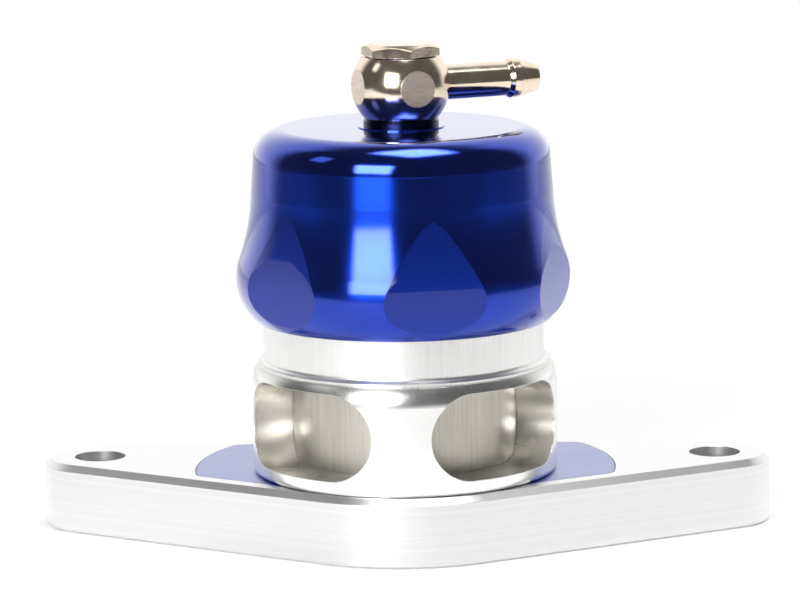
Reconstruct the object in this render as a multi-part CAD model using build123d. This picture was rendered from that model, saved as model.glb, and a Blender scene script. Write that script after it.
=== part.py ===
from build123d import *
import math
import os

# A blow-off valve on a two-bolt flange. Millimetres and degrees.
# The origin is the centre of the inlet in the flange's bottom face. +Z is the valve's axis, up through
# the cap, +X runs along the line of the two bolt holes, and -Y is the front.
# Angles are measured about the axis from +X, anticlockwise seen from above.

# Clearances
running_gap = 0.05
seal_gap = 0.03
fitted_gap = 0.02
screw_gap = 0.1
pocket_gap = 0.15
cut_past = 1.0

# Flange
flange_thickness = 12.0
bolt_spacing = 108.8
bolt_line_offset = 10.7
bolt_hole_r = 4.5
flange_end_r = 9.6
flange_ledge = 0.8
flange_top_chamfer = 1.1
flange_bottom_chamfer = 0.4
inlet_lip = 2.5
flange_seal_cord = 1.4
flange_seal_land = 0.9

# Blue plate in the flange's pocket
plate_thickness = 4.0
plate_rim = 3.8
plate_reach = 10.0
plate_corner_r = 2.5
plate_seal_cord = 1.2
plate_seal_land = 1.0

# Screws from below
screw_count = 4
screw_inset = 3.3
screw_r = 1.5
screw_length = 20.0
screw_head_r = 2.9
screw_head_height = 1.5
screw_head_sink = 0.2
screw_socket_width = 2.0
screw_socket_depth = 1.2
screw_drill_spare = 1.5

# Body, heights above the blue plate
guide_r = 19.5
body_wall = 7.0
body_foot_round = 0.9
window_count = 4
window_floor = 2.4
window_height = 14.9
pillar_angle = 22.1
shoulder_start = 15.4
shoulder_height = 3.3
shoulder_inset = 0.95
line_groove_depth = 0.3
line_groove_width = 0.2
bead_inset = 1.3
bead_height = 0.45
collar_step = 1.9
collar_fillet = 0.8
collar_top = 29.5
neck_wall = 2.9
body_height = 44.0
bore_edge_chamfer = 0.4
body_seal_cord = 1.0
body_seal_land = 0.6
cap_seal_cord = 1.5
cap_seal_drop = 3.0
seal_groove_spare = 0.2

# Joint travel, and the room left past its end
piston_lift = 11.0
lift_spare = 0.3
preload_travel = 3.0
preload_spare = 0.5

# Piston, heights above its nose
piston_wall = 3.95
piston_floor = 3.0
piston_nose_chamfer = 0.3
piston_dish_inset = 6.2
piston_dish_depth = 1.0
nose_seal_cord = 1.2
nose_seal_land = 1.2
nose_seal_stand = 0.1
ring_height = 24.0
ring_width = 3.0
ring_thickness = 1.28
ring_seal_cord = 1.2
ring_seal_squeeze = 0.05

# Spring, spring seat and slip washer
wire_r = 1.1
spring_side_gap = 0.8
spring_turns = 6.5
seat_spare = 1.3
seat_disc_gap = 1.0
seat_disc_thickness = 2.0
seat_boss_length = 4.0
seat_boss_wall = 3.2
seat_boss_gap = 0.3
seat_hole_r = 5.0
slip_washer_thickness = 1.5
slip_washer_inner_r = 8.0
slip_washer_outer_r = 15.0

# Cap
cap_bottom = 26.7
cap_crown = 8.0
cap_bulge_wall = 4.4
cap_bulge_rise = 7.3
cap_bulge_round = 9.8
cap_flare_angle = 20.0
cap_neck_wall = 3.7
cap_neck_drop = 10.9
cap_shoulder_taper = 0.45
cap_shoulder_round = 5.1
cap_skirt_gap = 0.2
cap_cavity_step = 2.4
cap_boss_r = 7.5
cap_boss_height = 0.2
flat_count = 6
flat_angle = -77.4
flat_depth = 1.35
flat_reach_rise = 1.0
flat_tilt_top = 1.1
flat_tilt_rise = 11.5
flat_tilt_bottom = 0.65
flat_tilt_drop = 7.0
flat_cutter_width = 30.0
flat_cutter_depth = 8.0

# Ball fitting on the cap
washer_inner_gap = 0.1
lower_washer_r = 6.5
lower_washer_thickness = 1.0
ball_r = 8.5
ball_below = 6.0
ball_above = 5.0
ball_bore_gap = 0.06
ball_flat_r = 3.05
ball_gallery_r = 5.3
ball_gallery_height = 4.8
upper_washer_r = 6.0
upper_washer_thickness = 0.5
upper_washer_stand = 0.15
tail_angle = 23.4
tail_r = 3.0
tail_bore_r = 1.75
tail_root = 6.0
tail_barb_start = 19.4
tail_barb_ramp = 0.8
tail_barb_r = 3.4
tail_barb_land = 1.4
tail_tip_r = 2.3
tail_end = 25.2

# Bolt through the ball
bolt_r = 4.0
bolt_head_width = 12.0
bolt_head_height = 2.1
bolt_head_top_r = 5.4
bolt_chamfer_angle = 30.0
bolt_head_angle = -102.4
hexagon_facet_turn = 30.0
bolt_engagement = 6.5
bolt_hollow_r = 1.6
bolt_port_r = 1.5

# Radii worked out from the sizes above
body_r = guide_r + body_wall
neck_r = guide_r + neck_wall
collar_r = neck_r + collar_step
screw_circle_r = body_r - screw_inset
inlet_r = guide_r - inlet_lip
flange_centre_r = body_r + flange_ledge
plate_end_r = body_r + plate_reach
flange_seal_r = inlet_r + flange_seal_land + flange_seal_cord / 2
plate_seal_r = inlet_r + plate_seal_land + plate_seal_cord / 2
body_seal_r = guide_r + body_seal_land + body_seal_cord / 2
piston_r = guide_r - running_gap
piston_inner_r = piston_r - piston_wall
ring_outer_r = guide_r - seal_gap
nose_seal_r = inlet_r + nose_seal_land
piston_dish_r = nose_seal_r - piston_dish_inset
spring_mean_r = piston_inner_r - spring_side_gap - wire_r
skirt_r = collar_r + cap_skirt_gap
thread_r = neck_r + running_gap
cap_bulge_r = skirt_r + cap_bulge_wall
cap_neck_r = neck_r + cap_neck_wall
cap_shoulder_r = cap_neck_r - cap_shoulder_taper
cap_cavity_r = neck_r - cap_cavity_step
seat_disc_r = cap_cavity_r - seat_disc_gap
flat_reach = cap_bulge_r - flat_depth

# Heights worked out from the sizes above
pocket_floor = flange_thickness - plate_thickness
plate_top = flange_thickness
body_top = plate_top + body_height
window_low = plate_top + window_floor
window_mid = window_low + window_height / 2
cap_seal_mid = body_top - cap_seal_drop
seat_low = body_top + preload_travel + seat_spare
seat_top = seat_low + seat_disc_thickness
piston_nose = plate_top + nose_seal_stand
piston_top = seat_low - preload_travel - piston_lift - lift_spare
cap_ceiling = seat_top + slip_washer_thickness
cap_low = plate_top + cap_bottom
cap_top = cap_ceiling + cap_crown
cap_bulge_mid = cap_low + cap_bulge_rise
skirt_top = plate_top + collar_top + preload_travel + preload_spare
thread_top = body_top + preload_travel + preload_spare
boss_top = cap_top + cap_boss_height
ball_low = boss_top + lower_washer_thickness
ball_mid = ball_low + ball_below
ball_high = ball_mid + ball_above
head_low = ball_high + upper_washer_stand


def turned(points):
    """A solid turned about the axis from a closed outline of (radius, height) corners."""
    return revolve(Plane.XZ * make_face(Polyline(*points, close=True)), Axis.Z)


def disc(radius, low, high):
    return Pos(0, 0, low) * extrude(Circle(radius), high - low)


def ring(inner, outer, low, high):
    return Pos(0, 0, low) * extrude(Circle(outer) - Circle(inner), high - low)


def seal(cord, mid_r, height):
    """An O-ring of the given cord diameter."""
    return Pos(0, 0, height) * Torus(mid_r, cord / 2)


def at(angle, radius, height):
    return Rot(0, 0, angle) * Pos(radius, 0, height)


def spread(count, first=0.0):
    """Angles of count equal places about the axis."""
    return [first + 360 / count * k for k in range(count)]


def flange_outline(inset=0.0):
    """The plate's outline: two ends and the middle, joined by straight tangents."""
    end = Circle(flange_end_r - inset)
    half = bolt_spacing / 2
    circles = [
        Circle(flange_centre_r - inset),
        Pos(half, bolt_line_offset) * end,
        Pos(-half, bolt_line_offset) * end,
    ]
    return make_hull([edge for circle in circles for edge in circle.edges()])


def plate_outline(grow=0.0):
    """The flange's outline less a rim, with its ends turned about the valve's axis."""
    face = flange_outline(plate_rim - grow) & Circle(plate_end_r + grow)
    return fillet(face.vertices(), plate_corner_r + grow)


def screw_places(height):
    return [at(angle, screw_circle_r, height) for angle in spread(screw_count)]


def screw_shape(grow):
    """A countersunk screw standing on its head, fatter by grow all round."""
    head = Cone(
        screw_head_r + grow,
        screw_r + grow,
        screw_head_height,
        align=(Align.CENTER, Align.CENTER, Align.MIN),
    )
    return head + disc(screw_r + grow, 0, screw_length)


def make_flange():
    plate = extrude(flange_outline(), flange_thickness)
    top = plate.faces().sort_by(Axis.Z)[-1]
    plate = chamfer(top.edges(), flange_top_chamfer)
    bottom = plate.faces().sort_by(Axis.Z)[0]
    plate = chamfer(bottom.edges(), flange_bottom_chamfer)
    plate -= Pos(0, 0, pocket_floor) * extrude(plate_outline(pocket_gap), plate_thickness)
    plate -= disc(inlet_r, 0, flange_thickness)
    for side in (-1, 1):
        plate -= Pos(side * bolt_spacing / 2, bolt_line_offset, 0) * disc(bolt_hole_r, 0, flange_thickness)
    lower = flange_seal_cord + seal_groove_spare
    plate -= ring(flange_seal_r - lower / 2, flange_seal_r + lower / 2, 0, flange_seal_cord)
    upper = plate_seal_cord + seal_groove_spare
    plate -= ring(plate_seal_r - upper / 2, plate_seal_r + upper / 2, pocket_floor - plate_seal_cord, pocket_floor)
    for place in screw_places(screw_head_sink):
        plate -= place * screw_shape(screw_gap)
    for place in screw_places(0):
        plate -= place * disc(screw_head_r + screw_gap, 0, screw_head_sink)
    return plate


def make_base_plate():
    plate = Pos(0, 0, pocket_floor) * extrude(plate_outline(), plate_thickness)
    plate -= disc(inlet_r, 0, flange_thickness)
    for place in screw_places(screw_head_sink):
        plate -= place * screw_shape(screw_gap)
    return plate


def make_base_screws():
    socket = extrude(RegularPolygon(screw_socket_width / 2, 6, major_radius=False), screw_socket_depth)
    screw = screw_shape(0) - socket
    return Compound(children=[place * screw for place in screw_places(screw_head_sink)])


def make_valve_body():
    shoulder_low = plate_top + shoulder_start
    shoulder_high = shoulder_low + shoulder_height
    shoulder_r = body_r - shoulder_inset
    bead_low = shoulder_high + line_groove_width
    bead_high = bead_low + bead_height
    foot = (body_r - body_foot_round, plate_top)
    foot_end = (body_r, plate_top + body_foot_round)
    shoulder_a = (body_r, shoulder_low)
    shoulder_b = (shoulder_r, shoulder_high)
    collar_low = (collar_r, bead_high + collar_fillet)
    side = [
        Line((guide_r, plate_top), foot),
        RadiusArc(foot, foot_end, -body_foot_round),
        Line(foot_end, shoulder_a),
        TangentArc(shoulder_a, shoulder_b, tangent=(0, 1)),
    ]
    step = Polyline(
        shoulder_b,
        (shoulder_r - line_groove_depth, shoulder_high),
        (shoulder_r - line_groove_depth, bead_low),
        (body_r - bead_inset, bead_low),
        (body_r - bead_inset, bead_high),
        (collar_r + collar_fillet, bead_high),
    )
    fillet_arc = RadiusArc((collar_r + collar_fillet, bead_high), collar_low, collar_fillet)
    neck = Polyline(
        collar_low,
        (collar_r, plate_top + collar_top),
        (neck_r, plate_top + collar_top),
        (neck_r, body_top),
        (guide_r, body_top),
        (guide_r, plate_top),
    )
    body = revolve(Plane.XZ * make_face(Curve() + [*side, step, fillet_arc, neck]), Axis.Z)
    rim = body.edges().filter_by(GeomType.CIRCLE).group_by(Axis.Z)[-1]
    body = chamfer(rim, bore_edge_chamfer)
    for angle in spread(window_count, 45):
        body -= window_cutter(angle)
    lower = body_seal_cord + seal_groove_spare
    body -= ring(body_seal_r - lower / 2, body_seal_r + lower / 2, plate_top, plate_top + body_seal_cord)
    half = (cap_seal_cord + seal_groove_spare) / 2
    body -= ring(neck_r - cap_seal_cord, neck_r + cut_past, cap_seal_mid - half, cap_seal_mid + half)
    drilled = screw_length + screw_head_sink + screw_drill_spare
    for place in screw_places(0):
        body -= place * disc(screw_r + fitted_gap, 0, drilled)
    return body


def window_cutter(angle):
    """A slot milled through the wall with a round cutter while the body turns under it."""
    inner = guide_r - window_height
    outer = body_r + cut_past
    end_r = window_height / 2
    half_window = 180 / window_count - pillar_angle / 2
    sweep = half_window - math.degrees(math.asin(end_r / body_r))
    face = Plane.XZ * (Pos((inner + outer) / 2, window_mid) * Rectangle(outer - inner, window_height))
    cutter = Rot(0, 0, angle - sweep) * revolve(face, Axis.Z, 2 * sweep)
    for end in (angle - sweep, angle + sweep):
        cutter += at(end, (inner + outer) / 2, window_mid) * Rot(0, 90, 0) * Cylinder(end_r, outer - inner)
    return cutter


def make_piston():
    floor = piston_nose + piston_floor
    cup = turned([
        (0, piston_nose + piston_dish_depth),
        (piston_dish_r - piston_dish_depth, piston_nose + piston_dish_depth),
        (piston_dish_r, piston_nose),
        (piston_r - piston_nose_chamfer, piston_nose),
        (piston_r, piston_nose + piston_nose_chamfer),
        (piston_r, piston_top),
        (piston_inner_r, piston_top),
        (piston_inner_r, floor),
        (0, floor),
    ])
    half = nose_seal_cord / 2
    cup -= ring(nose_seal_r - half, nose_seal_r + half, piston_nose, piston_nose + nose_seal_cord)
    low = piston_nose + ring_height
    floor_r = ring_outer_r - ring_thickness - ring_seal_cord
    return cup - ring(floor_r, piston_r + cut_past, low, low + ring_width + 2 * fitted_gap)


def make_piston_ring():
    low = piston_nose + ring_height + fitted_gap
    return ring(ring_outer_r - ring_thickness, ring_outer_r, low, low + ring_width)


def make_ring_energiser():
    cord = ring_seal_cord - ring_seal_squeeze
    mid = piston_nose + ring_height + fitted_gap + ring_width / 2
    return seal(cord, ring_outer_r - ring_thickness - ring_seal_cord / 2, mid)


def make_spring():
    low = piston_nose + piston_floor + wire_r
    high = seat_low - wire_r
    path = Pos(0, 0, low) * Helix((high - low) / spring_turns, high - low, spring_mean_r)
    return sweep(Plane(origin=path @ 0, z_dir=path % 0) * Circle(wire_r), path)


def make_spring_seat():
    boss_r = spring_mean_r - wire_r - seat_boss_gap
    seat = turned([
        (seat_hole_r, seat_top),
        (seat_hole_r, seat_low),
        (boss_r - seat_boss_wall, seat_low),
        (boss_r - seat_boss_wall, seat_low - seat_boss_length),
        (boss_r, seat_low - seat_boss_length),
        (boss_r, seat_low),
        (seat_disc_r, seat_low),
        (seat_disc_r, seat_top),
    ])
    return seat


def make_cap():
    centre = cap_bulge_r - cap_bulge_round
    angle = math.radians(cap_flare_angle)
    drop = math.asin(cap_bulge_rise / cap_bulge_round)
    lower = (centre + cap_bulge_round * math.cos(drop), cap_low)
    flare_height = cap_bulge_mid + cap_bulge_round * math.sin(angle)
    flare = (centre + cap_bulge_round * math.cos(angle), flare_height)
    neck = (cap_neck_r, cap_top - cap_neck_drop)
    shoulder = (cap_shoulder_r, cap_top - cap_shoulder_round)
    crown = (cap_shoulder_r - cap_shoulder_round, cap_top)
    outside = [
        ThreePointArc(lower, (cap_bulge_r, cap_bulge_mid), flare),
        TangentArc(flare, neck, tangent=(-math.sin(angle), math.cos(angle))),
        Line(neck, shoulder),
        RadiusArc(shoulder, crown, -cap_shoulder_round),
    ]
    inside = Polyline(
        crown,
        (cap_boss_r, cap_top),
        (cap_boss_r, boss_top),
        (bolt_r + fitted_gap, boss_top),
        (bolt_r + fitted_gap, cap_ceiling),
        (cap_cavity_r, cap_ceiling),
        (cap_cavity_r, thread_top),
        (thread_r, thread_top),
        (thread_r, skirt_top),
        (skirt_r, skirt_top),
        (skirt_r, cap_low),
        lower,
    )
    cap = revolve(Plane.XZ * make_face(Curve() + [*outside, inside]), Axis.Z)
    cutter = flat_cutter()
    for angle in spread(flat_count, flat_angle):
        cap -= Rot(0, 0, angle) * cutter
    return cap


def flat_cutter():
    """Mills one grip flat: straight across, and very slightly bowed from top to bottom."""
    height = cap_bulge_mid + flat_reach_rise
    top = (flat_reach - flat_tilt_top, height + flat_tilt_rise)
    low = (flat_reach - flat_tilt_bottom, height - flat_tilt_drop)
    far = flat_reach + flat_cutter_depth
    face = make_face(Curve() + [
        ThreePointArc(low, (flat_reach, height), top),
        Polyline(top, (far, top[1]), (far, low[1]), low),
    ])
    return extrude(Plane.XZ * face, flat_cutter_width / 2, both=True)


def make_banjo_body():
    ball = Pos(0, 0, ball_mid) * Sphere(ball_r)
    ball &= disc(ball_r, ball_low, ball_high)
    flat_reach_r = math.sqrt(ball_r**2 - ball_flat_r**2)
    block = Box(ball_r, 2 * ball_r, 2 * ball_r, align=(Align.MIN, Align.CENTER, Align.CENTER))
    for side in (90, 180, 270):
        ball -= at(tail_angle + side, flat_reach_r, ball_mid) * block
    ball -= disc(bolt_r + ball_bore_gap, ball_low, ball_high)
    half = ball_gallery_height / 2
    ball -= disc(ball_gallery_r, ball_mid - half, ball_mid + half)
    ball -= disc(upper_washer_r + ball_bore_gap, head_low - upper_washer_thickness, ball_high)
    tail_place = at(tail_angle, 0, ball_mid) * Rot(0, 90, 0)
    ball -= tail_place * disc(tail_bore_r, 0, ball_r)
    return ball - tail_place * disc(tail_r + fitted_gap, tail_root, ball_r + cut_past)


def make_hose_tail():
    ramp_end = tail_barb_start + tail_barb_ramp
    land_end = ramp_end + tail_barb_land
    tail = turned([
        (tail_bore_r, tail_root),
        (tail_r, tail_root),
        (tail_r, tail_barb_start),
        (tail_barb_r, ramp_end),
        (tail_barb_r, land_end),
        (tail_tip_r, tail_end),
        (tail_bore_r, tail_end),
    ])
    return at(tail_angle, 0, ball_mid) * Rot(0, 90, 0) * tail


def make_banjo_bolt():
    foot = boss_top - bolt_engagement
    head_top = head_low + bolt_head_height
    hexagon = RegularPolygon(bolt_head_width / 2, 6, rotation=hexagon_facet_turn, major_radius=False)
    head = at(bolt_head_angle, 0, head_low) * extrude(hexagon, bolt_head_height)
    reach = bolt_head_width
    fall = (reach - bolt_head_top_r) * math.tan(math.radians(bolt_chamfer_angle))
    head &= turned([
        (0, head_low),
        (reach, head_low),
        (reach, head_top - fall),
        (bolt_head_top_r, head_top),
        (0, head_top),
    ])
    bolt = head + disc(bolt_r, foot, head_low)
    bolt -= disc(bolt_hollow_r, foot, ball_mid + bolt_port_r)
    for turn in (0, 90):
        port = Rot(0, 90, 0) * Cylinder(bolt_port_r, 4 * bolt_r)
        bolt -= at(tail_angle + turn, 0, ball_mid) * port
    return bolt


pieces = {
    "flange": make_flange(),
    "flange_oring": seal(flange_seal_cord, flange_seal_r, flange_seal_cord / 2),
    "base_plate": make_base_plate(),
    "base_plate_oring": seal(plate_seal_cord, plate_seal_r, pocket_floor - plate_seal_cord / 2),
    "base_screws": make_base_screws(),
    "valve_body": make_valve_body(),
    "body_oring": seal(body_seal_cord, body_seal_r, plate_top + body_seal_cord / 2),
    "piston": make_piston(),
    "piston_face_oring": seal(nose_seal_cord, nose_seal_r, plate_top + nose_seal_cord / 2),
    "piston_ring": make_piston_ring(),
    "piston_ring_energiser": make_ring_energiser(),
    "spring": make_spring(),
    "spring_seat": make_spring_seat(),
    "thrust_washer": ring(slip_washer_inner_r, slip_washer_outer_r, seat_top, cap_ceiling),
    "cap": make_cap(),
    "cap_oring": seal(cap_seal_cord, neck_r - cap_seal_cord / 2, cap_seal_mid),
    "lower_washer": ring(bolt_r + washer_inner_gap, lower_washer_r, boss_top, ball_low),
    "banjo_body": make_banjo_body(),
    "hose_tail": make_hose_tail(),
    "upper_washer": ring(bolt_r + washer_inner_gap, upper_washer_r, head_low - upper_washer_thickness, head_low),
    "banjo_bolt": make_banjo_bolt(),
}

os.makedirs("parts", exist_ok=True)
for name, shape in pieces.items():
    export_step(shape, f"parts/{name}.step")
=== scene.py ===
import math
import bpy
from mathutils import Matrix, Vector


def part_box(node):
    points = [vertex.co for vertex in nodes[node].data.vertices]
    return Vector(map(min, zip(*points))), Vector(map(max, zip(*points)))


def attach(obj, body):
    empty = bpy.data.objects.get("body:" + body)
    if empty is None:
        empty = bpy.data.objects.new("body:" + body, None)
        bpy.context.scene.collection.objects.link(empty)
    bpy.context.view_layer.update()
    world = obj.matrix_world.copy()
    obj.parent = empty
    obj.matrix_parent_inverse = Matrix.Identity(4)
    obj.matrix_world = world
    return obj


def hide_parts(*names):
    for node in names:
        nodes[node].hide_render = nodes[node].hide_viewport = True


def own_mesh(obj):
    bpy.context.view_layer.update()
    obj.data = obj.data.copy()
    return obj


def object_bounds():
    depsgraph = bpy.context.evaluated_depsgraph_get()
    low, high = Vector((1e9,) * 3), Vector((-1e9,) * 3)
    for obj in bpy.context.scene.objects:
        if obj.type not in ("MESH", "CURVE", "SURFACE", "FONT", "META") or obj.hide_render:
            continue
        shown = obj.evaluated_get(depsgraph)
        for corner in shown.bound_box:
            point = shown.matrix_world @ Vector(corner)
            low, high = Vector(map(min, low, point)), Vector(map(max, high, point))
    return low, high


# The looks of a blow-off valve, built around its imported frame. Lengths are in metres.
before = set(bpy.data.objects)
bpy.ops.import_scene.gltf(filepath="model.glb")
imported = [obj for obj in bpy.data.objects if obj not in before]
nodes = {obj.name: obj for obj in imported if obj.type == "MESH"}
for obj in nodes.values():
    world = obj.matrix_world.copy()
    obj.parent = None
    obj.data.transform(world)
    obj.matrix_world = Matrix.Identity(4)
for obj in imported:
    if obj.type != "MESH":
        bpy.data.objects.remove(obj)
cad_low, cad_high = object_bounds()
mm = 0.001

# Camera, fitted to the photograph's 800 pixel width
camera_distance = 713.79 * mm
camera_height = 163.91 * mm
camera_focal_pixels = 4178.1
camera_pixels_wide = 800
camera_sensor_mm = 36.0
camera_pitch = math.radians(9.7406)
camera_roll = math.radians(0.7363)
camera_yaw = math.radians(0.0472)
camera_near = 10 * mm
object_turn = math.radians(-1.398)
front_angle = math.radians(-90) - object_turn

# World: brightness is radiance, where 1 is white. Angles are degrees away from the camera's side
# for the bright back, and above the horizon for the dim top.
back_light = 1.12
front_light = 0.11
top_light = 0.13
back_starts, back_full = 104, 128
top_starts, top_full = 48, 72

# Floor, and how much plain white the camera sees mixed into it near the object
floor_front = 250 * mm
floor_side = 700 * mm
floor_back = 900 * mm
floor_drop = 0.02 * mm
floor_colour = (0.90, 0.90, 0.90, 1)
floor_glow_near = 0.55
floor_near = 95 * mm
floor_far = 170 * mm

# Lamps: degrees round from the camera's side and above the horizon, width, height,
# brightness, and the share of the lamp that fades at its edges
lamp_distance = 900 * mm
lamp_aim_height = 50 * mm
lamps = {
    "key_panel": (-22, 18, 520 * mm, 540 * mm, 11.0, 0.35),
    "top_panel": (45, 81, 640 * mm, 640 * mm, 10.5, 0.6),
    "side_panel": (-75, 38, 280 * mm, 360 * mm, 1.5, 0.6),
}

# Places on the object that the finishes follow
cap_line = 66.4 * mm
cap_line_half_width = 0.07 * mm
cap_flat_angle = math.radians(-77.4)
cap_flat_count = 6
cap_flat_height = 47.0 * mm
cap_flat_bow = 0.02038 / mm
cap_flat_lean = 0.0215
# Height and half width of one flat, in mm
cap_flat_outline = (
    (38.9, 0.0), (39.6, 2.6), (41.3, 6.0), (43.2, 8.2), (45.0, 8.75), (47.0, 8.5),
    (49.5, 7.3), (52.5, 5.6), (55.5, 3.6), (57.6, 1.9), (59.0, 0.0),
)
cap_flat_edge = 0.04 * mm
ball_flat_reach = 7.934 * mm
ball_flat_margin = 0.05 * mm
tail_angle = math.radians(23.4)
band_low = 31.45 * mm
window_inner_r = 26.0 * mm
bevel_samples = 4

# Pairs of colours that a finish wanders between
cap_blues = (0.0052, 0.036, 0.39, 1), (0.0064, 0.041, 0.44, 1)
cap_flat_blue = (0.007, 0.036, 0.40, 1)
plate_blues = (0.008, 0.040, 0.36, 1), (0.010, 0.046, 0.40, 1)
window_wall_grey = (0.80, 0.79, 0.765, 1)
body_grey = (0.90, 0.90, 0.885, 1)
band_greys = (0.86, 0.86, 0.84, 1), (0.93, 0.93, 0.915, 1)
flange_side_greys = (0.80, 0.80, 0.795, 1), (0.84, 0.84, 0.835, 1)
flange_top_grey = (0.84, 0.84, 0.835, 1)
piston_greys = (0.52, 0.485, 0.425, 1), (0.61, 0.58, 0.52, 1)
ball_tones = (0.82, 0.69, 0.53, 1), (0.88, 0.76, 0.62, 1)
ball_flat_tones = (0.80, 0.66, 0.54, 1), (0.96, 0.84, 0.72, 1)
washer_tones = (0.008, 0.012, 0.05, 1), (0.014, 0.02, 0.08, 1)
oxide_tones = (0.035, 0.035, 0.038, 1), (0.07, 0.07, 0.075, 1)
wire_tones = (0.42, 0.42, 0.43, 1), (0.56, 0.56, 0.57, 1)
rubber_tones = (0.012, 0.012, 0.013, 1), (0.028, 0.028, 0.03, 1)
slip_tones = (0.80, 0.80, 0.77, 1), (0.88, 0.88, 0.86, 1)

metal = {"Metallic": 1.0}
dyed = {"Metallic": 1.0, "Coat Weight": 1.0, "Coat Roughness": 0.05, "Coat IOR": 1.38}

# Spring
spring_turns = 6.5
spring_closed_turns = 0.9
spring_closed_pitch = 2.05
spring_steps_per_turn = 72
wire_sides = 18
wire_r = 1.1 * mm


def add_camera():
    forward = Vector((
        -math.sin(camera_yaw) * math.cos(camera_pitch),
        math.cos(camera_yaw) * math.cos(camera_pitch),
        -math.sin(camera_pitch),
    ))
    level = Vector((math.cos(camera_yaw), math.sin(camera_yaw), 0))
    upward = level.cross(forward)
    right = math.cos(camera_roll) * level - math.sin(camera_roll) * upward
    up = math.sin(camera_roll) * level + math.cos(camera_roll) * upward
    turn = Matrix((right, up, -forward)).transposed().to_4x4()
    place = Matrix.Translation((0, -camera_distance, camera_height)) @ turn
    data = bpy.data.cameras.new("camera")
    data.sensor_fit = "HORIZONTAL"
    data.sensor_width = camera_sensor_mm
    data.lens = camera_focal_pixels / camera_pixels_wide * camera_sensor_mm
    data.clip_start = camera_near
    camera = bpy.data.objects.new("camera", data)
    camera.matrix_world = Matrix.Rotation(-object_turn, 4, "Z") @ place
    bpy.context.scene.collection.objects.link(camera)
    bpy.context.scene.camera = camera


class Graph:
    """A node tree with short ways to add nodes and join them."""

    def __init__(self, tree):
        self.tree = tree
        tree.nodes.clear()

    def join(self, socket, value):
        if isinstance(value, bpy.types.NodeSocket):
            self.tree.links.new(value, socket)
        else:
            socket.default_value = value

    def add(self, kind, settings=None, inputs=None):
        node = self.tree.nodes.new(kind)
        for name, value in (settings or {}).items():
            setattr(node, name, value)
        for name, value in (inputs or {}).items():
            self.join(node.inputs[name], value)
        return node

    def filled(self, kind, settings, values):
        """A node whose first sockets take the values in turn."""
        node = self.add(kind, settings)
        for socket, value in zip(node.inputs, values):
            self.join(socket, value)
        return node

    def sum(self, operation, *values):
        return self.filled("ShaderNodeMath", {"operation": operation}, values).outputs[0]

    def vector(self, operation, *values):
        node = self.filled("ShaderNodeVectorMath", {"operation": operation}, values)
        number = operation in ("DOT_PRODUCT", "LENGTH")
        return node.outputs["Value" if number else "Vector"]

    def scaled(self, vector, size):
        return self.vector("MULTIPLY", vector, size)

    def span(self, value, low, high, start=0.0, end=1.0, smooth=True):
        """Maps low to high of a value onto start to end."""
        settings = {"interpolation_type": "SMOOTHSTEP" if smooth else "LINEAR"}
        values = (value, low, high, start, end)
        return self.filled("ShaderNodeMapRange", settings, values).outputs[0]

    def wander(self, noise, start=0.0, end=1.0):
        """Spreads a noise, which keeps near 0.5, over start to end."""
        return self.span(noise, 0.3, 0.7, start, end)

    def mix(self, kind, first_socket, factor, first, second):
        node = self.add("ShaderNodeMix", {"data_type": kind})
        entries = (0, factor), (first_socket, first), (first_socket + 1, second)
        for number, value in entries:
            self.join(node.inputs[number], value)
        return node

    def blend(self, factor, first, second):
        """One number or the other."""
        return self.mix("FLOAT", 2, factor, first, second).outputs[0]

    def tint(self, factor, first, second):
        """One colour or the other."""
        return self.mix("RGBA", 6, factor, first, second).outputs[2]

    def noise(self, vector, scale, detail=2.0, roughness=0.5):
        inputs = {"Vector": vector, "Scale": scale, "Detail": detail, "Roughness": roughness}
        return self.add("ShaderNodeTexNoise", {"noise_dimensions": "3D"}, inputs).outputs[0]

    def lines(self, along, pitch, detail=2.0):
        inputs = {"W": along, "Scale": 1 / pitch, "Detail": detail, "Roughness": 0.6}
        return self.add("ShaderNodeTexNoise", {"noise_dimensions": "1D"}, inputs).outputs[0]

    def output(self, kind, surface):
        self.join(self.add(kind).inputs["Surface"], surface)


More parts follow.
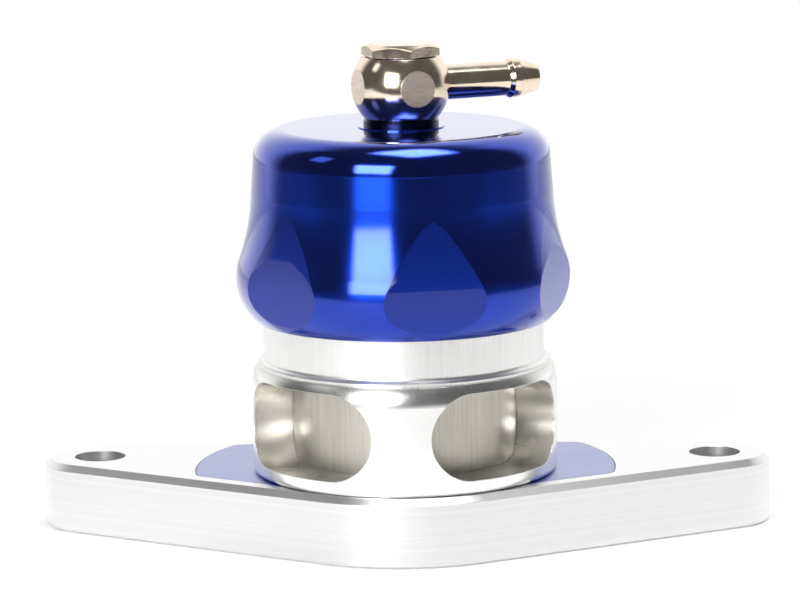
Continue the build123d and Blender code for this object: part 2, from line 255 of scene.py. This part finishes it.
class Finish(Graph):
    """A material whose grain follows the object's own frame."""

    def __init__(self, name):
        self.material = bpy.data.materials.new(name)
        self.material.use_nodes = True
        super().__init__(self.material.node_tree)
        self.place = self.add("ShaderNodeTexCoord").outputs["Object"]
        parts = self.add("ShaderNodeSeparateXYZ", None, {"Vector": self.place})
        self.x, self.y, self.z = parts.outputs
        self.radius = self.vector("LENGTH", self.scaled(self.place, (1, 1, 0)))

    def above(self, value, limit, soft=0.02 * mm):
        return self.span(value, limit - soft, limit + soft, smooth=False)

    def along(self, angle):
        """Distance from the valve's axis in one direction."""
        return self.vector("DOT_PRODUCT", self.place, (math.cos(angle), math.sin(angle), 0))

    def upright_streaks(self, scale, stretch=0.03, detail=3.0):
        return self.noise(self.scaled(self.place, (1, 1, stretch)), scale, detail, 0.65)

    def turned_lines(self, pitch, detail=2.0):
        return self.lines(self.sum("ADD", self.radius, self.z), pitch, detail)

    def shade(self, colour, roughness, height, depth, edge=0.0, fixed=None, turned=None):
        """Joins the surface up.

        height and depth are the relief and how deep it is. edge is the radius of the broken
        corners. turned is a mask and the direction that the surface has inside it.
        """
        shader = self.add("ShaderNodeBsdfPrincipled")
        self.join(shader.inputs["Base Color"], colour)
        self.join(shader.inputs["Roughness"], roughness)
        for name, value in (fixed or {}).items():
            shader.inputs[name].default_value = value
        inputs = {"Strength": 1.0, "Distance": depth, "Height": height}
        bump = self.add("ShaderNodeBump", None, inputs)
        if edge:
            settings = {"samples": bevel_samples}
            normal = self.add("ShaderNodeBevel", settings, {"Radius": edge}).outputs[0]
            if turned is not None:
                mask, facing = turned
                mixed = self.mix("VECTOR", 4, mask, normal, facing).outputs[1]
                normal = self.vector("NORMALIZE", mixed)
            self.join(bump.inputs["Normal"], normal)
        self.join(shader.inputs["Normal"], bump.outputs[0])
        self.surface = shader
        self.output("ShaderNodeOutputMaterial", shader.outputs[0])
        return self.material

    def turn_grain(self, amount, quarter=0.25):
        """Spreads highlights across the turning lines round the valve's axis."""
        tangent = self.add("ShaderNodeTangent", {"direction_type": "RADIAL", "axis": "Z"})
        self.surface.inputs["Anisotropic"].default_value = amount
        self.surface.inputs["Anisotropic Rotation"].default_value = quarter
        self.join(self.surface.inputs["Tangent"], tangent.outputs[0])


def cap_flat_width(finish):
    """Half the width of a flat at each height."""
    low, high = cap_flat_outline[0][0], cap_flat_outline[-1][0]
    widest = max(width for height, width in cap_flat_outline)
    curve = finish.add("ShaderNodeFloatCurve")
    points = curve.mapping.curves[0].points
    while len(points) < len(cap_flat_outline):
        points.new(0.5, 0.5)
    for point, (height, width) in zip(points, cap_flat_outline):
        point.location = ((height - low) / (high - low), width / widest)
    curve.mapping.update()
    risen = finish.span(finish.z, low * mm, high * mm, smooth=False)
    finish.join(curve.inputs["Value"], risen)
    return finish.sum("MULTIPLY", curve.outputs[0], widest * mm)


def cap_flats(finish):
    """1 on the cap's six flats and 0 on the turned surface, with the way that the flats face."""
    turn = 2 * math.pi / cap_flat_count
    angle = finish.sum("ARCTAN2", finish.y, finish.x)
    shifted = finish.sum("ADD", angle, 2 * math.pi - cap_flat_angle + turn / 2)
    folded = finish.sum("SUBTRACT", finish.sum("FLOORED_MODULO", shifted, turn), turn / 2)
    aside = finish.sum("MULTIPLY", finish.radius, finish.sum("SINE", folded))
    inside = finish.sum("SUBTRACT", cap_flat_width(finish), finish.sum("ABSOLUTE", aside))
    flats = finish.span(inside, 0.0, cap_flat_edge, smooth=False)
    middle = finish.sum("SUBTRACT", angle, folded)
    rise = finish.sum("SUBTRACT", finish.z, cap_flat_height)
    bowed = finish.sum("MULTIPLY", rise, cap_flat_bow)
    outward = finish.add("ShaderNodeCombineXYZ", None, {
        "X": finish.sum("COSINE", middle),
        "Y": finish.sum("SINE", middle),
        "Z": finish.sum("SUBTRACT", bowed, cap_flat_lean),
    }).outputs[0]
    settings = {"vector_type": "NORMAL", "convert_from": "OBJECT", "convert_to": "WORLD"}
    facing = finish.add("ShaderNodeVectorTransform", settings, {"Vector": outward}).outputs[0]
    return flats, facing


def cap_finish():
    """Blue dyed aluminium: turned wall, smooth shoulder above a fine line, satin flats."""
    finish = Finish("cap_blue")
    flats, facing = cap_flats(finish)
    wall = finish.sum("SUBTRACT", 1.0, finish.above(finish.z, cap_line, 0.05 * mm))
    smudge = finish.noise(finish.place, 90, 3)
    grain = finish.noise(finish.place, 9000, 2)
    turning = finish.turned_lines(0.42 * mm, 3)
    fine = finish.turned_lines(0.16 * mm, 1)
    groove = finish.sum(
        "COMPARE", finish.sum("SUBTRACT", finish.z, cap_line), 0.0, cap_line_half_width
    )
    turned_rough = finish.blend(wall, 0.10, 0.21)
    uneven = finish.span(smudge, 0.35, 0.65, -0.01, 0.015)
    rough = finish.sum("ADD", finish.blend(flats, turned_rough, 0.37), uneven)
    mixed_lines = finish.blend(0.5, turning, fine)
    lined = finish.sum("MULTIPLY", mixed_lines, finish.blend(wall, 0.12, 1.0))
    surface = finish.blend(flats, lined, grain)
    relief = finish.sum("SUBTRACT", surface, finish.sum("MULTIPLY", groove, 3.0))
    deep = finish.tint(finish.wander(smudge), *cap_blues)
    colour = finish.tint(flats, deep, cap_flat_blue)
    finish.shade(colour, rough, relief, 0.0022 * mm, 0.1 * mm, dyed, (flats, facing))
    finish.turn_grain(0.75)
    return finish.material


def plate_finish():
    finish = Finish("plate_blue")
    grain = finish.noise(finish.place, 5000, 3)
    smudge = finish.noise(finish.place, 60, 3)
    colour = finish.tint(finish.wander(smudge), *plate_blues)
    rough = finish.wander(smudge, 0.30, 0.36)
    return finish.shade(colour, rough, grain, 0.003 * mm, 0.12 * mm, dyed)


def body_finish():
    """Bright aluminium: a satin band with upright streaks, turned below it, milled windows."""
    finish = Finish("body_aluminium")
    band = finish.above(finish.z, band_low)
    streaks = finish.upright_streaks(3200)
    turning = finish.turned_lines(0.35 * mm, 3)
    grain = finish.noise(finish.place, 5200, 2)
    outer = finish.above(finish.radius, window_inner_r, 0.2 * mm)
    inner, below = finish.sum("SUBTRACT", 1.0, outer), finish.sum("SUBTRACT", 1.0, band)
    milled = finish.sum("MULTIPLY", inner, below)
    sides = finish.lines(finish.z, 0.5 * mm, 3)
    smooth = finish.blend(milled, finish.blend(0.5, grain, turning), sides)
    relief = finish.blend(band, smooth, streaks)
    worn = finish.wander(finish.noise(finish.place, 140, 4), -0.03, 0.03)
    rough = finish.sum("ADD", finish.blend(band, finish.blend(milled, 0.24, 0.30), 0.36), worn)
    plain = finish.tint(milled, body_grey, window_wall_grey)
    satin = finish.tint(finish.wander(streaks), *band_greys)
    colour = finish.tint(band, plain, satin)
    return finish.shade(colour, rough, relief, 0.0035 * mm, 0.15 * mm, metal)


def flange_finish():
    """Milled aluminium: fine lines along the sides and on the top."""
    finish = Finish("flange_aluminium")
    facing = finish.add("ShaderNodeNewGeometry").outputs["Normal"]
    upright = finish.sum("ABSOLUTE", finish.vector("DOT_PRODUCT", facing, (0, 0, 1)))
    top = finish.span(upright, 0.8, 0.95)
    sides = finish.lines(finish.z, 0.7 * mm, 4)
    faced = finish.noise(finish.scaled(finish.place, (0.08, 1, 1)), 2600, 3)
    uneven = finish.wander(finish.noise(finish.place, 45, 3), -0.01, 0.015)
    relief = finish.blend(top, sides, faced)
    rough = finish.sum("ADD", finish.blend(top, 0.32, 0.27), uneven)
    side = finish.tint(finish.span(sides, 0.35, 0.65), *flange_side_greys)
    colour = finish.tint(top, side, flange_top_grey)
    return finish.shade(colour, rough, relief, 0.003 * mm, 0.15 * mm, metal)


def piston_finish():
    finish = Finish("piston_hard_anodised")
    streaks = finish.upright_streaks(2600, 0.02, 4)
    colour = finish.tint(finish.wander(streaks), *piston_greys)
    rough = finish.wander(finish.noise(finish.place, 120, 3), 0.36, 0.44)
    return finish.shade(colour, rough, streaks, 0.004 * mm, 0.1 * mm, metal)


def ball_finish():
    """Plated brass: a slightly rippled mirror, with brushed milled flats on the ball."""
    finish = Finish("plated_nickel")
    flats = None
    for quarter in (1, 2, 3):
        reach = finish.along(tail_angle + quarter * math.pi / 2)
        side = finish.above(reach, ball_flat_reach - ball_flat_margin)
        flats = side if flats is None else finish.sum("MAXIMUM", flats, side)
    ripple = finish.noise(finish.place, 2300, 2)
    pits = finish.noise(finish.place, 5200, 2)
    brushed = finish.noise(finish.scaled(finish.place, (0.12, 0.12, 1)), 4200, 3, 0.7)
    peel = finish.blend(0.35, ripple, pits)
    relief = finish.blend(flats, peel, finish.sum("MULTIPLY", brushed, 1.5))
    stain = finish.noise(finish.place, 380, 3)
    warm = finish.tint(finish.wander(stain), *ball_tones)
    pale = finish.tint(finish.wander(brushed), *ball_flat_tones)
    rough = finish.blend(flats, finish.wander(stain, 0.10, 0.17), 0.34)
    colour = finish.tint(flats, warm, pale)
    return finish.shade(colour, rough, relief, 0.009 * mm, 0.1 * mm, metal)


def plain_metal(name, tones, low, high):
    """Dark or drawn metal with turning lines, its roughness between low and high."""
    finish = Finish(name)
    patch = finish.noise(finish.place, 900, 3)
    colour = finish.tint(finish.wander(patch), *tones)
    rough = finish.wander(patch, low, high)
    lined = finish.turned_lines(0.3 * mm)
    return finish.shade(colour, rough, lined, 0.003 * mm, 0.1 * mm, metal)


def soft_finish(name, tones, low, high):
    """Rubber or slip plastic, faintly mottled, its roughness between low and high."""
    finish = Finish(name)
    patch = finish.noise(finish.place, 700, 3)
    colour = finish.tint(finish.wander(patch), *tones)
    rough = finish.wander(patch, low, high)
    return finish.shade(colour, rough, finish.noise(finish.place, 6000, 2), 0.004 * mm)


def dress():
    """Gives each CAD node its material."""
    worn_by = (
        (cap_finish(), ("cap",)),
        (plate_finish(), ("base_plate",)),
        (body_finish(), ("valve_body",)),
        (flange_finish(), ("flange",)),
        (piston_finish(), ("piston", "spring_seat")),
        (ball_finish(), ("banjo_body", "hose_tail", "banjo_bolt")),
        (plain_metal("washer_dark", washer_tones, 0.22, 0.32), ("lower_washer", "upper_washer")),
        (plain_metal("black_oxide", oxide_tones, 0.32, 0.45), ("base_screws",)),
        (soft_finish("slip_plastic", slip_tones, 0.35, 0.5), ("piston_ring", "thrust_washer")),
        (soft_finish("nitrile_rubber", rubber_tones, 0.42, 0.58), (
            "flange_oring", "base_plate_oring", "body_oring", "cap_oring",
            "piston_face_oring", "piston_ring_energiser",
        )),
    )
    for material, names in worn_by:
        for name in names:
            for slot in nodes[name].material_slots:
                slot.material = material


def spring_rise(turns, bottom, top):
    """Height of the wire's middle: close turns at both ends, even turns between them."""
    closed_rise = spring_closed_pitch * wire_r * spring_closed_turns
    left = spring_turns - turns
    if turns < spring_closed_turns:
        return bottom + closed_rise * turns / spring_closed_turns
    if left > spring_closed_turns:
        open_turns = spring_turns - 2 * spring_closed_turns
        open_rise = top - bottom - 2 * closed_rise
        opened = (turns - spring_closed_turns) / open_turns
        return bottom + closed_rise + open_rise * opened
    return top - closed_rise * left / spring_closed_turns


def add_spring():
    """The coil with closed, ground ends, in the room of the plain helix."""
    low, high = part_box("spring")
    coil_r = (high.x - low.x) / 2 - wire_r
    bottom, top = low.z + wire_r, high.z - wire_r
    steps = int(spring_turns * spring_steps_per_turn)
    verts, faces = [], []
    for step in range(steps + 1):
        turns = spring_turns * step / steps
        height = spring_rise(turns, bottom, top)
        angle = 2 * math.pi * turns
        for side in range(wire_sides):
            around = 2 * math.pi * side / wire_sides
            reach = coil_r + wire_r * math.cos(around)
            rise = min(max(height + wire_r * math.sin(around), low.z), high.z)
            verts.append((reach * math.cos(angle), reach * math.sin(angle), rise))
    for step in range(steps):
        for side in range(wire_sides):
            here = step * wire_sides + side
            beside = step * wire_sides + (side + 1) % wire_sides
            faces.append((here, here + wire_sides, beside + wire_sides, beside))
    faces.append(tuple(range(wire_sides)))
    faces.append(tuple(steps * wire_sides + side for side in reversed(range(wire_sides))))
    mesh = bpy.data.meshes.new("coil_spring")
    mesh.from_pydata(verts, [], faces)
    mesh.shade_smooth()
    mesh.materials.append(plain_metal("spring_wire", wire_tones, 0.25, 0.4))
    coil = bpy.data.objects.new("coil_spring", mesh)
    bpy.context.scene.collection.objects.link(coil)
    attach(coil, "spring_seat")
    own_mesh(coil)
    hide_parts("spring")


def add_sheet(name, corners):
    """A flat mesh with an empty material, and the graph of that material."""
    mesh = bpy.data.meshes.new(name)
    mesh.from_pydata(corners, [], [(0, 1, 2, 3)])
    sheet = bpy.data.objects.new(name, mesh)
    bpy.context.scene.collection.objects.link(sheet)
    material = bpy.data.materials.new(name)
    material.use_nodes = True
    mesh.materials.append(material)
    return sheet, Graph(material.node_tree)


def add_lamp(name, direction, rise, wide, tall, brightness, fade):
    """A soft lamp that faces the object, brightest in its middle."""
    angle = front_angle + math.radians(direction)
    rise = math.radians(rise)
    level = math.cos(rise)
    outward = Vector((math.cos(angle) * level, math.sin(angle) * level, math.sin(rise)))
    lamp, graph = add_sheet(name, [(-1, -1, 0), (1, -1, 0), (1, 1, 0), (-1, 1, 0)])
    lamp.matrix_world = (
        Matrix.Translation(outward * lamp_distance + Vector((0, 0, lamp_aim_height)))
        @ outward.to_track_quat("Z", "Y").to_matrix().to_4x4()
        @ Matrix.Diagonal((wide / 2, tall / 2, 1, 1))
    )
    place = graph.add("ShaderNodeTexCoord").outputs["Object"]
    parts = graph.add("ShaderNodeSeparateXYZ", None, {"Vector": place})
    across, down = (
        graph.span(graph.sum("ABSOLUTE", parts.outputs[axis]), 1 - fade, 1.0, 1.0, 0.0)
        for axis in (0, 1)
    )
    strength = graph.sum("MULTIPLY", graph.sum("MULTIPLY", across, down), brightness)
    glow = graph.add("ShaderNodeEmission", None, {"Strength": strength})
    graph.output("ShaderNodeOutputMaterial", glow.outputs[0])
    lamp.visible_camera = False


def add_world():
    """White behind and beside the object, dim in front, and plain white to the camera."""
    world = bpy.data.worlds.new("studio")
    bpy.context.scene.world = world
    world.use_nodes = True
    graph = Graph(world.node_tree)
    direction = graph.add("ShaderNodeTexCoord").outputs["Generated"]
    parts = graph.add("ShaderNodeSeparateXYZ", None, {"Vector": direction})
    level = graph.vector("LENGTH", graph.scaled(direction, (1, 1, 0)))
    front = (math.cos(front_angle), math.sin(front_angle), 0)
    facing = graph.vector("DOT_PRODUCT", direction, front)
    turned = graph.sum("DIVIDE", facing, graph.sum("MAXIMUM", level, 0.001))
    back = (math.cos(math.radians(angle)) for angle in (back_starts, back_full))
    top = (math.sin(math.radians(angle)) for angle in (top_starts, top_full))
    around = graph.blend(graph.span(turned, *back), front_light, back_light)
    light = graph.blend(graph.span(parts.outputs[2], *top), around, top_light)
    seen = graph.add("ShaderNodeLightPath").outputs["Is Camera Ray"]
    inputs = {"Color": (1, 1, 1, 1), "Strength": graph.blend(seen, light, 1.0)}
    sky = graph.add("ShaderNodeBackground", None, inputs)
    graph.output("ShaderNodeOutputWorld", sky.outputs[0])


def add_floor():
    """A pale sheet that ends a little way in front of the object and runs on behind it."""
    floor, graph = add_sheet("floor", [
        (-floor_side, -floor_front, 0),
        (floor_side, -floor_front, 0),
        (floor_side, floor_back, 0),
        (-floor_side, floor_back, 0),
    ])
    floor.location.z = cad_low[2] - floor_drop
    paper = graph.add("ShaderNodeBsdfDiffuse", None, {"Color": floor_colour})
    white = graph.add("ShaderNodeEmission", None, {"Strength": 1.0})
    seen = graph.add("ShaderNodeLightPath").outputs["Is Camera Ray"]
    reach = graph.vector("LENGTH", graph.add("ShaderNodeTexCoord").outputs["Object"])
    glow = graph.span(reach, floor_near, floor_far, floor_glow_near, 1.0)
    share = graph.sum("MULTIPLY", seen, glow)
    values = (share, paper.outputs[0], white.outputs[0])
    mixed = graph.filled("ShaderNodeMixShader", None, values)
    graph.output("ShaderNodeOutputMaterial", mixed.outputs[0])


add_camera()
add_world()
add_floor()
for lamp_name, lamp_values in lamps.items():
    add_lamp(lamp_name, *lamp_values)
dress()
add_spring()

bpy.context.scene.view_settings.view_transform = "Standard"
